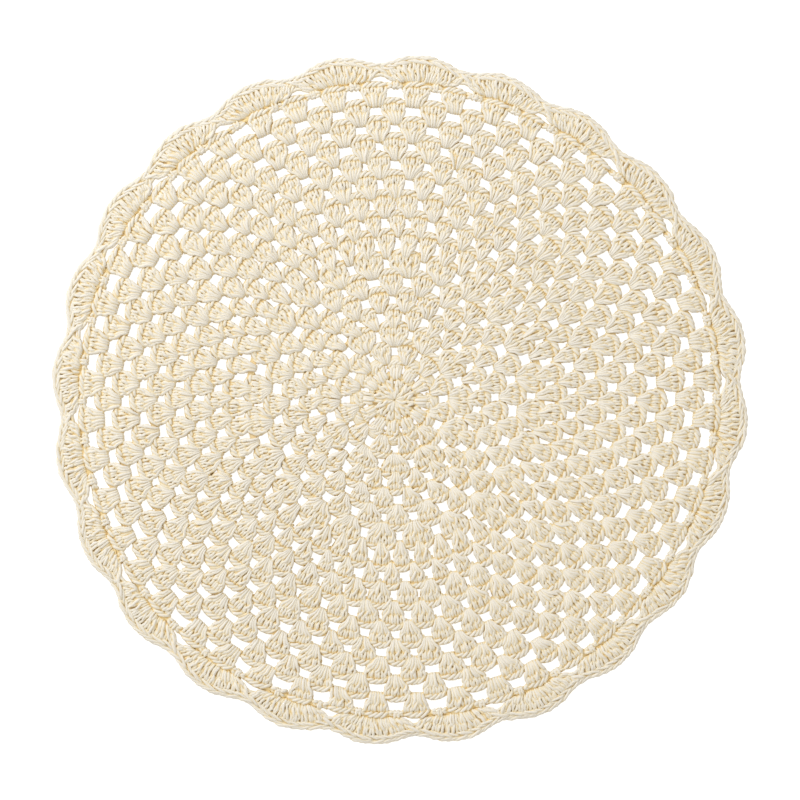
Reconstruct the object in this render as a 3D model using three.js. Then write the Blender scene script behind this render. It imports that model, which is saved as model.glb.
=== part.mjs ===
// Round crochet placemat, one worked piece lying flat on z = 0 with its right side up along +Z.
// Sizes are in millimetres and angles in degrees, anticlockwise from +X as seen from above.
import * as THREE from 'three';

// Edge: 24 shells round a disc that is a little uneven, as handwork is
const EDGE_RADIUS = 189.5;
const SHELLS = 24;
const SHELL_PEAK_DEG = 10.6;
const SHELL_RISE = 2.4;
const SHELL_FULLNESS = 0.33;
const EDGE_POINTS_PER_SHELL = 6;
const EDGE_BAND = 4.5;
const CHAIN_RADIUS = 176.3;
const CREVICE_RADIUS = 178.8;
const CHAIN_POINTS_PER_SHELL = 2;
const SHELL_POINTS_PER_SHELL = 4;

// Unevenness of the disc: lobes round the edge, how far they bulge, where the first one is
const UNEVENNESS = [
  { lobes: 2, bulge: 1.0, deg: -6.5 },
  { lobes: 3, bulge: 1.3, deg: 3.9 },
  { lobes: 4, bulge: 0.7, deg: 22.8 },
  { lobes: 5, bulge: 0.6, deg: 9.1 },
];
const UNEVEN_POWER = 3;

// The first rounds lie a little to the left of the edge's middle
const MIDDLE_SHIFT_X = -1.5;
const SHIFT_FADES_FROM = 95;
const SHIFT_FADES_TO = 178;

// Heights of the right side
const ROOT_TOP = 5.0;
const CLUSTER_FOOT_TOP = 4.2;
const CLUSTER_HEAD_TOP = 3.6;
const BRAID_TOP = 3.0;
const HOLLOW_TOP = 1.6;
const MIDDLE_TOP = 4.4;
const MIDDLE_DIP_TOP = 3.0;
const CHAIN_TOP = 4.0;
const CREVICE_TOP = 2.4;
const CREVICE_SWELL = 0.6;
const SHELL_TOP = 4.2;
const SHELL_SWELL = 0.5;
const EDGE_TOP = 3.0;

// Central round of stitches
const MIDDLE_RADIUS = 6.5;
const MIDDLE_POINTS = 12;

// Rounds of stitch clusters from the middle outwards. Each round has as many gaps as clusters.
// gapRadius is the middle of its gaps, inner and outer their widths, gapDeg where one gap is.
const ROUNDS = [
  { clusters: 12, gapRadius: 18.0, gapHeight: 2.5, inner: 1.5, outer: 1.1, gapDeg: 12.0, open: false },
  { clusters: 12, gapRadius: 26.8, gapHeight: 4.1, inner: 2.9, outer: 2.4, gapDeg: 29.4, open: false },
  { clusters: 12, gapRadius: 36.2, gapHeight: 4.0, inner: 3.6, outer: 2.5, gapDeg: 15.5, open: true },
  { clusters: 24, gapRadius: 46.0, gapHeight: 3.4, inner: 3.6, outer: 2.9, gapDeg: 9.0, open: false },
  { clusters: 24, gapRadius: 55.2, gapHeight: 3.7, inner: 3.2, outer: 2.5, gapDeg: 2.0, open: false },
  { clusters: 24, gapRadius: 65.0, gapHeight: 4.1, inner: 5.4, outer: 4.3, gapDeg: 9.9, open: true },
  { clusters: 24, gapRadius: 75.1, gapHeight: 4.4, inner: 3.9, outer: 2.6, gapDeg: 2.3, open: true },
  { clusters: 48, gapRadius: 86.7, gapHeight: 4.8, inner: 2.2, outer: 1.4, gapDeg: 6.5, open: false },
  { clusters: 48, gapRadius: 97.5, gapHeight: 4.4, inner: 3.7, outer: 3.0, gapDeg: 3.2, open: false },
  { clusters: 48, gapRadius: 107.9, gapHeight: 4.7, inner: 2.4, outer: 1.5, gapDeg: 7.2, open: false },
  { clusters: 48, gapRadius: 119.1, gapHeight: 4.3, inner: 3.8, outer: 2.7, gapDeg: 3.6, open: false },
  { clusters: 48, gapRadius: 129.6, gapHeight: 3.6, inner: 4.6, outer: 3.7, gapDeg: 0.0, open: true },
  { clusters: 48, gapRadius: 139.9, gapHeight: 3.6, inner: 5.7, outer: 4.6, gapDeg: 3.9, open: true },
  { clusters: 48, gapRadius: 150.0, gapHeight: 3.6, inner: 6.7, outer: 5.4, gapDeg: 0.1, open: true },
  { clusters: 48, gapRadius: 160.0, gapHeight: 3.7, inner: 8.5, outer: 7.1, gapDeg: 4.0, open: true },
  { clusters: 48, gapRadius: 169.9, gapHeight: 4.3, inner: 9.3, outer: 7.7, gapDeg: 0.3, open: true },
];

// Handwork: each cluster sits off its even place by up to this share of the pitch
const WANDER = 0.08;
const FIRST_ROUND_NUMBER = 2;

const COTTON_COLOUR = 0xe8dcc0;
const COTTON_ROUGHNESS = 0.95;

const FULL_TURN = Math.PI * 2;
const rad = THREE.MathUtils.degToRad;

// A repeatable number from -1 to 1 for a cluster of a round
function wander(round, cluster) {
  const mixed = Math.sin(round * 127.1 + cluster * 311.7) * 43758.5453;
  return (mixed - Math.floor(mixed)) * 2 - 1;
}

// Turn along the shells: 0 at each shell's peak, pi at each valley
function shellTurn(angle) {
  return SHELLS * (angle - rad(SHELL_PEAK_DEG));
}

function edgeRadius(angle) {
  const turn = shellTurn(angle);
  return EDGE_RADIUS + SHELL_RISE * Math.cos(turn) - SHELL_FULLNESS * Math.cos(2 * turn);
}

// Plan position of a point given by its even radius and angle, with the handwork's unevenness
function planPoint(radius, angle) {
  const share = (radius / EDGE_RADIUS) ** UNEVEN_POWER;
  const bulges = UNEVENNESS.map((u) => u.bulge * Math.cos(u.lobes * (angle - rad(u.deg))));
  const uneven = radius + share * bulges.reduce((sum, bulge) => sum + bulge, 0);
  const fade = 1 - THREE.MathUtils.smoothstep(radius, SHIFT_FADES_FROM, SHIFT_FADES_TO);
  return {
    x: uneven * Math.cos(angle) + MIDDLE_SHIFT_X * fade,
    y: uneven * Math.sin(angle),
  };
}

const positions = [];
const triangles = [];

function addPoint(radius, angle, height) {
  const { x, y } = planPoint(radius, angle);
  positions.push(x, y, height);
  return positions.length / 3 - 1;
}

// A corner is a point of the right side, with the point below it on the underside where one is needed
function addCorner(radius, angle, height, hasUnderside) {
  return {
    angle,
    top: addPoint(radius, angle, height),
    under: hasUnderside ? addPoint(radius, angle, 0) : -1,
  };
}

function addTriangle(a, b, c, side) {
  if (side === 'top') {
    triangles.push(a[side], b[side], c[side]);
  } else {
    triangles.push(a[side], c[side], b[side]);
  }
}

function addQuad(a, b, c, d, side) {
  addTriangle(a, b, c, side);
  addTriangle(a, c, d, side);
}

// Upright wall on the left of the way from a to b, as seen from above
function addWall(a, b) {
  triangles.push(a.top, b.top, b.under);
  triangles.push(a.top, b.under, a.under);
}

function evenRing(count, startDeg, radiusAt, heightAt, hasUnderside) {
  const ring = [];
  for (let i = 0; i < count; i += 1) {
    const angle = rad(startDeg) + (FULL_TURN * i) / count;
    ring.push(addCorner(radiusAt(angle), angle, heightAt(angle), hasUnderside));
  }
  return ring;
}

function angleBetween(a, b) {
  return Math.abs(THREE.MathUtils.euclideanModulo(a.angle - b.angle + Math.PI, FULL_TURN) - Math.PI);
}

// Fills the band between two rings of corners, each time with the shorter of the two next edges across it
function fillBand(inner, outer, side) {
  const fromStart = outer.map((corner) => angleBetween(corner, inner[0]));
  const start = fromStart.indexOf(Math.min(...fromStart));
  const innerAt = (i) => inner[i % inner.length];
  const outerAt = (o) => outer[(start + o) % outer.length];
  let i = 0;
  let o = 0;
  while (i < inner.length || o < outer.length) {
    const acrossToOuter = angleBetween(outerAt(o + 1), innerAt(i));
    const acrossToInner = angleBetween(innerAt(i + 1), outerAt(o));
    if (i === inner.length || (o < outer.length && acrossToOuter <= acrossToInner)) {
      addTriangle(innerAt(i), outerAt(o), outerAt(o + 1), side);
      o += 1;
    } else {
      addTriangle(innerAt(i), outerAt(o), innerAt(i + 1), side);
      i += 1;
    }
  }
}

function fillMiddle(ring, height, side) {
  const middle = { [side]: addPoint(0, 0, height) };
  ring.forEach((corner, i) => addTriangle(middle, corner, ring[(i + 1) % ring.length], side));
}

// The angle midway between a cluster and the next one of its round
function midwayAngle(clusters, i) {
  const next = clusters[(i + 1) % clusters.length].angle + (i + 1 === clusters.length ? FULL_TURN : 0);
  return (clusters[i].angle + next) / 2;
}

// The four corners of each cluster of a round, by the gaps on its two sides
function layRound(round, number) {
  const pitch = FULL_TURN / round.clusters;
  const innerRadius = round.gapRadius - round.gapHeight / 2;
  const outerRadius = round.gapRadius + round.gapHeight / 2;
  const innerHalf = pitch / 2 - round.inner / innerRadius / 2;
  const outerHalf = pitch / 2 - round.outer / outerRadius / 2;
  const clusters = [];
  for (let i = 0; i < round.clusters; i += 1) {
    const angle = rad(round.gapDeg) + pitch * (i + 0.5 + WANDER * wander(number, i));
    clusters.push({
      angle,
      innerStart: addCorner(innerRadius, angle - innerHalf, CLUSTER_FOOT_TOP, round.open),
      innerEnd: addCorner(innerRadius, angle + innerHalf, CLUSTER_FOOT_TOP, round.open),
      outerStart: addCorner(outerRadius, angle - outerHalf, CLUSTER_HEAD_TOP, round.open),
      outerEnd: addCorner(outerRadius, angle + outerHalf, CLUSTER_HEAD_TOP, round.open),
    });
  }
  return {
    open: round.open,
    gapRadius: round.gapRadius,
    clusters,
    innerRing: clusters.flatMap((c) => [c.innerStart, c.innerEnd]),
    outerRing: clusters.flatMap((c) => [c.outerStart, c.outerEnd]),
  };
}

// Clusters, and between them gaps cut through or left as hollows
function fillRound(round) {
  round.clusters.forEach((cluster, i) => {
    const next = round.clusters[(i + 1) % round.clusters.length];
    const { innerStart, innerEnd, outerStart, outerEnd } = cluster;
    addQuad(innerStart, outerStart, outerEnd, innerEnd, 'top');
    const gap = [innerEnd, outerEnd, next.outerStart, next.innerStart];
    if (round.open) {
      addQuad(innerStart, outerStart, outerEnd, innerEnd, 'under');
      gap.forEach((corner, j) => addWall(corner, gap[(j + 1) % gap.length]));
    } else {
      const hollow = addCorner(round.gapRadius, midwayAngle(round.clusters, i), HOLLOW_TOP, false);
      gap.forEach((corner, j) => addTriangle(corner, gap[(j + 1) % gap.length], hollow, 'top'));
    }
  });
}

// Ring between two rounds: high at the roots of the outer round's clusters, low at the braid between them
function rootRing(round, radius) {
  return round.clusters.flatMap((cluster, i) => [
    addCorner(radius, cluster.angle, ROOT_TOP, false),
    addCorner(radius, midwayAngle(round.clusters, i), BRAID_TOP, false),
  ]);
}

function buildMat() {
  const rounds = ROUNDS.map((round, i) => layRound(round, FIRST_ROUND_NUMBER + i));
  const middleRing = evenRing(MIDDLE_POINTS, 0, () => MIDDLE_RADIUS, () => MIDDLE_TOP, false);
  fillMiddle(middleRing, MIDDLE_DIP_TOP, 'top');

  let lastRing = middleRing;
  let lastRadius = MIDDLE_RADIUS;
  let lastUnderRing = null;
  rounds.forEach((round) => {
    const roots = rootRing(round, (lastRadius + round.gapRadius) / 2);
    fillBand(lastRing, roots, 'top');
    fillBand(roots, round.innerRing, 'top');
    fillRound(round);
    if (round.open && lastUnderRing) fillBand(lastUnderRing, round.innerRing, 'under');
    if (round.open && !lastUnderRing) fillMiddle(round.innerRing, 0, 'under');
    if (round.open) lastUnderRing = round.outerRing;
    lastRing = round.outerRing;
    lastRadius = round.gapRadius;
  });

  const chainPoints = SHELLS * CHAIN_POINTS_PER_SHELL;
  const shellPoints = SHELLS * SHELL_POINTS_PER_SHELL;
  const edgePoints = SHELLS * EDGE_POINTS_PER_SHELL;
  const shellRadius = (angle) => edgeRadius(angle) - EDGE_BAND;
  const shellHeight = (angle) => SHELL_TOP + SHELL_SWELL * Math.cos(shellTurn(angle));
  const creviceHeight = (angle) => CREVICE_TOP + CREVICE_SWELL * Math.cos(shellTurn(angle));
  const chain = evenRing(chainPoints, SHELL_PEAK_DEG, () => CHAIN_RADIUS, () => CHAIN_TOP, false);
  const crevice = evenRing(chainPoints, SHELL_PEAK_DEG, () => CREVICE_RADIUS, creviceHeight, false);
  const shellTops = evenRing(shellPoints, SHELL_PEAK_DEG, shellRadius, shellHeight, false);
  const edge = evenRing(edgePoints, SHELL_PEAK_DEG, edgeRadius, () => EDGE_TOP, true);
  fillBand(lastRing, chain, 'top');
  fillBand(chain, crevice, 'top');
  fillBand(crevice, shellTops, 'top');
  fillBand(shellTops, edge, 'top');
  fillBand(lastUnderRing, edge, 'under');
  edge.forEach((corner, i) => addWall(edge[(i + 1) % edge.length], corner));

  const geometry = new THREE.BufferGeometry();
  geometry.setAttribute('position', new THREE.Float32BufferAttribute(positions, 3));
  geometry.setIndex(triangles);
  geometry.computeBoundingBox();
  const { min, max } = geometry.boundingBox;
  geometry.translate(-(min.x + max.x) / 2, -(min.y + max.y) / 2, 0);
  geometry.computeVertexNormals();
  return geometry;
}

const cotton = new THREE.MeshStandardMaterial({
  color: COTTON_COLOUR,
  roughness: COTTON_ROUGHNESS,
  metalness: 0,
});
cotton.name = 'cotton';

const mat = new THREE.Mesh(buildMat(), cotton);
mat.name = 'mat';

const part = new THREE.Group();
part.name = 'crochet_placemat';
part.add(mat);

export default part;
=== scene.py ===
"""Round crochet placemat: its yarn, stitch by stitch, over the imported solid. Sizes in mm unless said."""
import bpy
import numpy as np
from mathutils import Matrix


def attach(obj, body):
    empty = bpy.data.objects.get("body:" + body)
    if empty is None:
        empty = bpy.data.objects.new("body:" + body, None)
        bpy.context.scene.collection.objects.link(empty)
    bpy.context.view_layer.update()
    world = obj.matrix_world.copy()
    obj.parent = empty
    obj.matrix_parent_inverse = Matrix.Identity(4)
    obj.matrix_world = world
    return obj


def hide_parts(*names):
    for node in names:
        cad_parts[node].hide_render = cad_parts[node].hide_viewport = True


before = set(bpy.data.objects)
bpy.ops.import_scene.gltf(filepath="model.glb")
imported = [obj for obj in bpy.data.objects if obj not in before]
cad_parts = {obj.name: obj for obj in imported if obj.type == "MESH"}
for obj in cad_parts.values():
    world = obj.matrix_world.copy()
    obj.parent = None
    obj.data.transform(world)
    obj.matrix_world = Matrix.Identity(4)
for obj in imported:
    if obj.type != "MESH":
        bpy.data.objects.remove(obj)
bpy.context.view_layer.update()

MM = 0.001
FULL_TURN = 2.0 * np.pi
SEED = 20261

# Edge of the mat, as in the solid
EDGE_RADIUS = 189.5
SHELLS = 24
SHELL_PEAK_DEG = 10.6
SHELL_RISE = 2.4
SHELL_FULLNESS = 0.33
EDGE_POINTS = 144
UNEVENNESS = (
    # lobes, bulge, angle of the first one in degrees
    (2, 1.0, -6.5),
    (3, 1.3, 3.9),
    (4, 0.7, 22.8),
    (5, 0.6, 9.1),
)
UNEVEN_POWER = 3
MIDDLE_SHIFT_X = -1.5
SHIFT_FADES_FROM = 95.0
SHIFT_FADES_TO = 178.0

# Rounds, as in the solid
WANDER = 0.08
FIRST_ROUND_NUMBER = 2
WIDTH_WANDER = 0.07
WIDTH_ROUND_NUMBER = 40
HASH_ROUND = 127.1
HASH_CLUSTER = 311.7
HASH_SPREAD = 43758.5453
ROUNDS = (
    # clusters, stitches in each, gap radius, gap height, inner and outer gap width, gap angle in degrees
    (12, 2, 18.0, 2.5, 1.5, 1.1, 12.0),
    (12, 3, 26.8, 4.1, 2.9, 2.4, 29.4),
    (12, 4, 36.2, 4.0, 3.6, 2.5, 15.5),
    (24, 2, 46.0, 3.4, 3.6, 2.9, 9.0),
    (24, 3, 55.2, 3.7, 3.2, 2.5, 2.0),
    (24, 3, 65.0, 4.1, 5.4, 4.3, 9.9),
    (24, 4, 75.1, 4.4, 3.9, 2.6, 2.3),
    (48, 2, 86.7, 4.8, 2.2, 1.4, 6.5),
    (48, 2, 97.5, 4.4, 3.7, 3.0, 3.2),
    (48, 3, 107.9, 4.7, 2.4, 1.5, 7.2),
    (48, 3, 119.1, 4.3, 3.8, 2.7, 3.6),
    (48, 3, 129.6, 3.6, 4.6, 3.7, 0.0),
    (48, 3, 139.9, 3.6, 5.7, 4.6, 3.9),
    (48, 3, 150.0, 3.6, 6.7, 5.4, 0.1),
    (48, 3, 160.0, 3.7, 8.5, 7.1, 4.0),
    (48, 3, 169.9, 4.3, 9.3, 7.7, 0.3),
)
CLUSTERS, STITCHES, GAP_RADIUS, GAP_HEIGHT, GAP_INNER, GAP_OUTER, GAP_DEG = range(7)
MIDDLE_BAR_RADIUS = 12.0
MIDDLE_HEAD_RADIUS = 10.2
MIDDLE_ROOT_GAP = 3.9
LAST_BAR_RADIUS = 174.2
LAST_TOP_RADIUS = 177.0

# Legs of the clusters. Fills, EDGE_LEG, LEG_STRAY and LEG_WAVER are shares of the step from leg to leg.
LEG_RADIUS = 0.72
LEG_FILL = 0.67
FIRST_LEG_FILL = 0.8
ROOT_FILL = 0.71
ROOT_SPARE = 1.7
ROOT_STITCH = 1.8
THIN_LEG = 0.64
THICK_LEG = 1.2
EDGE_LEG = 0.1
LOWEST = 1.2
UPPER_FOOT = 1.0
UPPER_TOP = 2.2
DOME = 0.6
FIRST_DOME = 1.3
DOME_LEVEL = 4.0
ROOT_BULGE = 0.3
FIRST_ROOT_BULGE = 1.6
OPENED = 0.4
EARLY_OPENED = 0.6
EARLY_ROUNDS = 3
LEG_STRAY = 0.1
LEG_WAVER = 0.1
LEG_END_STRAY = 0.5
LEG_HEIGHT_STRAY = 0.18
TIER_STRAY = 0.15
# From a cluster's side to the middle of its first leg, round by round
LEG_MARGINS = (
    1.25, 1.5, 1.27, 1.06, 1.27, 1.12, 1.22, 1.25, 1.42, 1.32, 1.33, 1.3, 1.25, 1.1, 1.02, 1.15,
)

# Pits between legs. PIT_PUSH and PIT_REACH are shares of the step from leg to leg.
PIT_UPPER_ROW = 0.7
PIT_SHARE = 0.9
PIT_PUSH = 0.27
PIT_REACH = 0.7
PIT_LENGTH = 0.8
PIT_THINNING = 0.22
PIT_STRAY = 0.5
PIT_STRENGTH_STRAY = 0.2

# Slanting strands and backs. SLANT_ASIDE_STRAY is a share of the step from leg to leg.
SLANT_RADIUS = 0.92
SLANT_SHARE = 0.8
SLANT_ASIDE_STRAY = 0.12
SLANT_STRAY = 0.6
SLANT_HEIGHT_STRAY = 0.2
BACK_RADIUS = 0.95
BACK_HEIGHT = 1.2
BACK_MARGIN = 0.3
BACK_ROOT_STITCH = 0.75
BACK_STRAY = 0.2

# Caps: links that arch over each cluster. A place along a cap goes from -1 to 1.
LINK_RADIUS = 1.1
LINK_STRAY = 0.17
CAP_WIDTH = 4.0
CAP_SPREAD = 1.35
CAP_HEIGHT = 3.8
CAP_REACH = 0.82
CAP_LINK_REACH = 1.08
CAP_OVERHANG = 0.2
CAP_FOOT = 1.3
CAP_LEAST_DROP = 1.2
CAP_ARCH_POWER = 2.4
CAP_DOME = 0.6
CAP_SHIFT = 0.15
EARLY_CAP_SHIFT = 0.35
EARLY_CAPS = 6
FIRST_CROWN = 21.0
# Cords under a cap: distance outwards, lift
CAP_CORDS = ((0.75, -0.8),)
FIRST_CORDS = ((1.0, -0.3), (2.1, -0.5), (2.9, -0.8))
CAP_CORD_HALF = 0.98
CORD_POINTS = 7
# Places of neighbouring caps are so far apart in one row of places
CAP_KEY = 4.0

# Bars between clusters
BAR_RADIUS = 1.0
BAR_HEIGHT = 2.4
BAR_LEAST = 0.5
BAR_OVERLAP = 1.2
BAR_RISE = 1.0
BAR_SAG = 0.5
BAR_PLACES = np.array([-1.0, -0.4, 0.4, 1.0])

# Tubes of yarn. UNEVEN_THICKNESS and END_TAPER are shares of the radius.
UNEVEN_THICKNESS = 0.05
END_TAPER = 0.6
LEG_SIDES = 5
LEG_SPANS = 6
LINK_SIDES = 5
LINK_SPANS = 4
BACK_SIDES = 4
BACK_SPANS = 3
BAR_SPANS = 3
CORD_SPANS = 6
# A direction that no strand follows
SIDE_HINT = np.array([0.31, 0.27, 0.91])

# A strand's cell of the bake map, in shares of the cell: its tube, then the discs of its ends
CELL_MARGIN = 0.06
CELL_WIDTH = 0.88
CELL_LENGTH = 0.68
CELL_DISC = 0.07
CELL_FIRST_END = np.array([0.25, 0.87])
CELL_LAST_END = np.array([0.75, 0.87])

rng = np.random.default_rng(SEED)


def noise(scale, *shape):
    return rng.normal(0.0, scale, shape)


def columns(table):
    """The columns of a table, each as an array."""
    return (np.array(column) for column in zip(*table))


# Plan of the mat

def rad(degrees):
    return np.radians(degrees)


SHELL_PEAKS = rad(SHELL_PEAK_DEG) + FULL_TURN * np.arange(SHELLS) / SHELLS
EDGE_ANGLES = rad(SHELL_PEAK_DEG) + FULL_TURN * np.arange(EDGE_POINTS) / EDGE_POINTS


def wander(number, cluster):
    mixed_up = np.sin(number * HASH_ROUND + cluster * HASH_CLUSTER) * HASH_SPREAD
    return (mixed_up - np.floor(mixed_up)) * 2.0 - 1.0


def edge_radius(angle):
    turn = SHELLS * (angle - rad(SHELL_PEAK_DEG))
    return EDGE_RADIUS + SHELL_RISE * np.cos(turn) - SHELL_FULLNESS * np.cos(2.0 * turn)


def uneven_plan(radius, angle):
    """Plan position of an even radius and angle, before the mat is centred."""
    share = (radius / EDGE_RADIUS) ** UNEVEN_POWER
    bulge = sum(b * np.cos(lobes * (angle - rad(deg))) for lobes, b, deg in UNEVENNESS)
    uneven = radius + share * bulge
    step = np.clip((radius - SHIFT_FADES_FROM) / (SHIFT_FADES_TO - SHIFT_FADES_FROM), 0.0, 1.0)
    fade = 1.0 - step * step * (3.0 - 2.0 * step)
    return uneven * np.cos(angle) + MIDDLE_SHIFT_X * fade, uneven * np.sin(angle)


def plan_centre():
    x, y = uneven_plan(edge_radius(EDGE_ANGLES), EDGE_ANGLES)
    return (x.min() + x.max()) / 2.0, (y.min() + y.max()) / 2.0


CENTRE_X, CENTRE_Y = plan_centre()


def placed(radius, angle, height):
    """Points in the mat's frame from radius, angle and height."""
    radius, angle, height = np.broadcast_arrays(radius, angle, height)
    x, y = uneven_plan(radius, angle)
    return np.stack([x - CENTRE_X, y - CENTRE_Y, height], axis=-1)


def cluster_angles(i):
    row = ROUNDS[i]
    k = np.arange(row[CLUSTERS])
    pitch = FULL_TURN / row[CLUSTERS]
    return rad(row[GAP_DEG]) + pitch * (k + 0.5 + WANDER * wander(FIRST_ROUND_NUMBER + i, k))


def cluster_widths(i):
    """How wide each cluster of a round is, as a share of the even width."""
    k = np.arange(ROUNDS[i][CLUSTERS])
    return 1.0 + WIDTH_WANDER * wander(WIDTH_ROUND_NUMBER + i, k)


def midway(angles):
    """Angles midway between each and the next."""
    following = np.append(angles[1:], angles[0] + FULL_TURN)
    return (angles + following) / 2.0


def nearest(angles, anchors):
    """For each angle the nearest anchor, as an angle near it."""
    turn = (anchors[None, :] - angles[:, None] + np.pi) % FULL_TURN - np.pi
    best = np.argmin(np.abs(turn), axis=1)
    return angles + turn[np.arange(len(angles)), best]


def root_angles(i):
    """Where the clusters of a round are rooted: the gaps of the round before, and its clusters if fewer."""
    own = cluster_angles(i)
    if i == 0:
        return own
    before = cluster_angles(i - 1)
    anchors = midway(before)
    if len(before) < len(own):
        anchors = np.concatenate([anchors, before])
    return nearest(own, anchors)


def swung(i, share):
    """Angle of each cluster at shares of the way from its root to its own angle."""
    root = root_angles(i)
    return (root[:, None] + (cluster_angles(i) - root)[:, None] * share)[:, None, :]


def inner_edge(i):
    return ROUNDS[i][GAP_RADIUS] - ROUNDS[i][GAP_HEIGHT] / 2.0


def outer_edge(i):
    return ROUNDS[i][GAP_RADIUS] + ROUNDS[i][GAP_HEIGHT] / 2.0


def half_inner(i):
    """Half the width of an even cluster at the inner edge of its gaps."""
    return (FULL_TURN / ROUNDS[i][CLUSTERS] * inner_edge(i) - ROUNDS[i][GAP_INNER]) / 2.0


def half_outer(i):
    """Half the width of an even cluster at the outer edge of its gaps."""
    return (FULL_TURN / ROUNDS[i][CLUSTERS] * outer_edge(i) - ROUNDS[i][GAP_OUTER]) / 2.0


def head_before(i):
    """Radius where the heads of the round before begin."""
    return outer_edge(i - 1) if i > 0 else MIDDLE_HEAD_RADIUS


def bar_radius(i):
    """Radius of the chain on top of round i, or of the middle round where i is -1."""
    if i < 0:
        return MIDDLE_BAR_RADIUS
    if i == len(ROUNDS) - 1:
        return LAST_BAR_RADIUS
    return (ROUNDS[i][GAP_RADIUS] + ROUNDS[i + 1][GAP_RADIUS]) / 2.0


def cap_crown(i):
    """Radius of the middle of a cap."""
    top = LAST_TOP_RADIUS if i == len(ROUNDS) - 1 else inner_edge(i + 1)
    return FIRST_CROWN if i == 0 else top - CAP_WIDTH / 2.0


def domed(i, height, t, half):
    """Heights lowered towards the sides of a cluster."""
    dome = FIRST_DOME if i == 0 else DOME
    return height - dome * (t / (half + LEG_MARGINS[i])) ** 2 * height / DOME_LEVEL


# Strands

class Strands:
    """Tubes of yarn gathered for one piece."""

    def __init__(self):
        self.points = []
        self.polygons = []
        self.sizes = []
        self.yarn_uv = []
        self.cell_uv = []
        self.tone = []
        self.ridges = []
        self.samples = []
        self.cells = 0
        self.count = 0

    def add(self, controls, radius, spans, sides):
        """controls: points along each strand, the strands in any grid. radius: of all, or at each point."""
        radius = np.broadcast_to(radius, controls.shape[:-1]).reshape(-1, controls.shape[-2])
        controls = controls.reshape(-1, *controls.shape[-2:])
        lines = smooth_lines(controls, spans)
        strands, rings = lines.shape[:2]
        radius = radius * (1.0 + noise(UNEVEN_THICKNESS, *radius.shape))
        radii = smooth_lines(radius[:, :, None], spans)[:, :, 0]
        radii[:, 0] *= END_TAPER
        radii[:, -1] *= END_TAPER
        tube, length = swept(lines, radii, sides)
        self.samples.append(sampled(controls, radius, length.max()))
        self.points.append(tube.reshape(-1, 3))
        quads, quad_uv = tube_faces(strands, rings, sides, length)
        caps, cap_uv = cap_faces(strands, rings, sides, length)
        self.polygons += [quads.reshape(-1) + self.count, caps.reshape(-1) + self.count]
        self.sizes += [np.full(len(quads), 4), np.full(len(caps), sides)]
        self.yarn_uv += [quad_uv[0].reshape(-1, 2), cap_uv[0].reshape(-1, 2)]
        for uv, per in ((quad_uv[1], len(quads) // strands), (cap_uv[1], len(caps) // strands)):
            cell = self.cells + np.repeat(np.arange(strands), per)
            self.cell_uv.append((cell, uv))
        ridge = np.concatenate([lines, radii[:, :, None]], axis=-1)
        self.ridges.append(np.repeat(ridge.reshape(-1, 4), sides, axis=0))
        self.tone.append(np.repeat(rng.uniform(-1.0, 1.0, strands), rings * sides))
        self.cells += strands
        self.count += strands * rings * sides


def smooth_lines(controls, spans):
    """Catmull-Rom lines through the control points, with spans + 1 points each."""
    count = controls.shape[1]
    where = np.linspace(0.0, count - 1.0, spans + 1)
    first = np.minimum(where.astype(int), count - 2)
    u = where - first
    basis = np.stack([
        -0.5 * u + u ** 2 - 0.5 * u ** 3,
        1.0 - 2.5 * u ** 2 + 1.5 * u ** 3,
        0.5 * u + 2.0 * u ** 2 - 1.5 * u ** 3,
        -0.5 * u ** 2 + 0.5 * u ** 3,
    ])
    weights = np.zeros((spans + 1, count))
    for step in range(len(basis)):
        column = np.clip(first + step - 1, 0, count - 1)
        np.add.at(weights, (np.arange(spans + 1), column), basis[step])
    return np.einsum("nk,skc->snc", weights, controls)


def unit(vectors):
    return vectors / np.maximum(np.linalg.norm(vectors, axis=-1, keepdims=True), 1e-9)


def swept(lines, radii, sides):
    """Rings of points round each line, and the length along it at each ring."""
    along = unit(np.gradient(lines, axis=1))
    steps = np.linalg.norm(np.diff(lines, axis=1), axis=-1)
    length = np.concatenate([np.zeros((len(lines), 1)), np.cumsum(steps, axis=1)], axis=1)
    normal = np.cross(along[:, 0], SIDE_HINT)
    normal = unit(np.cross(along[:, 0], normal))
    turn = (FULL_TURN * np.arange(sides) / sides)[None, :, None]
    rings = []
    for i in range(lines.shape[1]):
        normal = unit(normal - np.sum(normal * along[:, i], axis=1, keepdims=True) * along[:, i])
        across = np.cross(along[:, i], normal)
        offset = np.cos(turn) * normal[:, None] + np.sin(turn) * across[:, None]
        rings.append(lines[:, i, None] + radii[:, i, None, None] * offset)
    return np.stack(rings, axis=1), length


def tube_faces(strands, rings, sides, length):
    """Quads of all tubes, with their yarn coordinates and their places in the strands' cells."""
    s, r, a = np.meshgrid(np.arange(strands), np.arange(rings - 1), np.arange(sides), indexing="ij")
    s, r, a = s.ravel(), r.ravel(), a.ravel()
    start = s * rings * sides
    b = (a + 1) % sides
    quads = np.stack([
        start + r * sides + a,
        start + r * sides + b,
        start + (r + 1) * sides + b,
        start + (r + 1) * sides + a,
    ], axis=1)
    u = np.stack([a, a + 1, a + 1, a], axis=1) / sides
    v = np.stack([length[s, r], length[s, r], length[s, r + 1], length[s, r + 1]], axis=1)
    cell_v = np.stack([r, r, r + 1, r + 1], axis=1) / (rings - 1)
    yarn = np.stack([u, v], axis=-1)
    cell = np.stack([CELL_MARGIN + CELL_WIDTH * u, CELL_MARGIN + CELL_LENGTH * cell_v], axis=-1)
    return quads, (yarn, cell)


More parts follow.
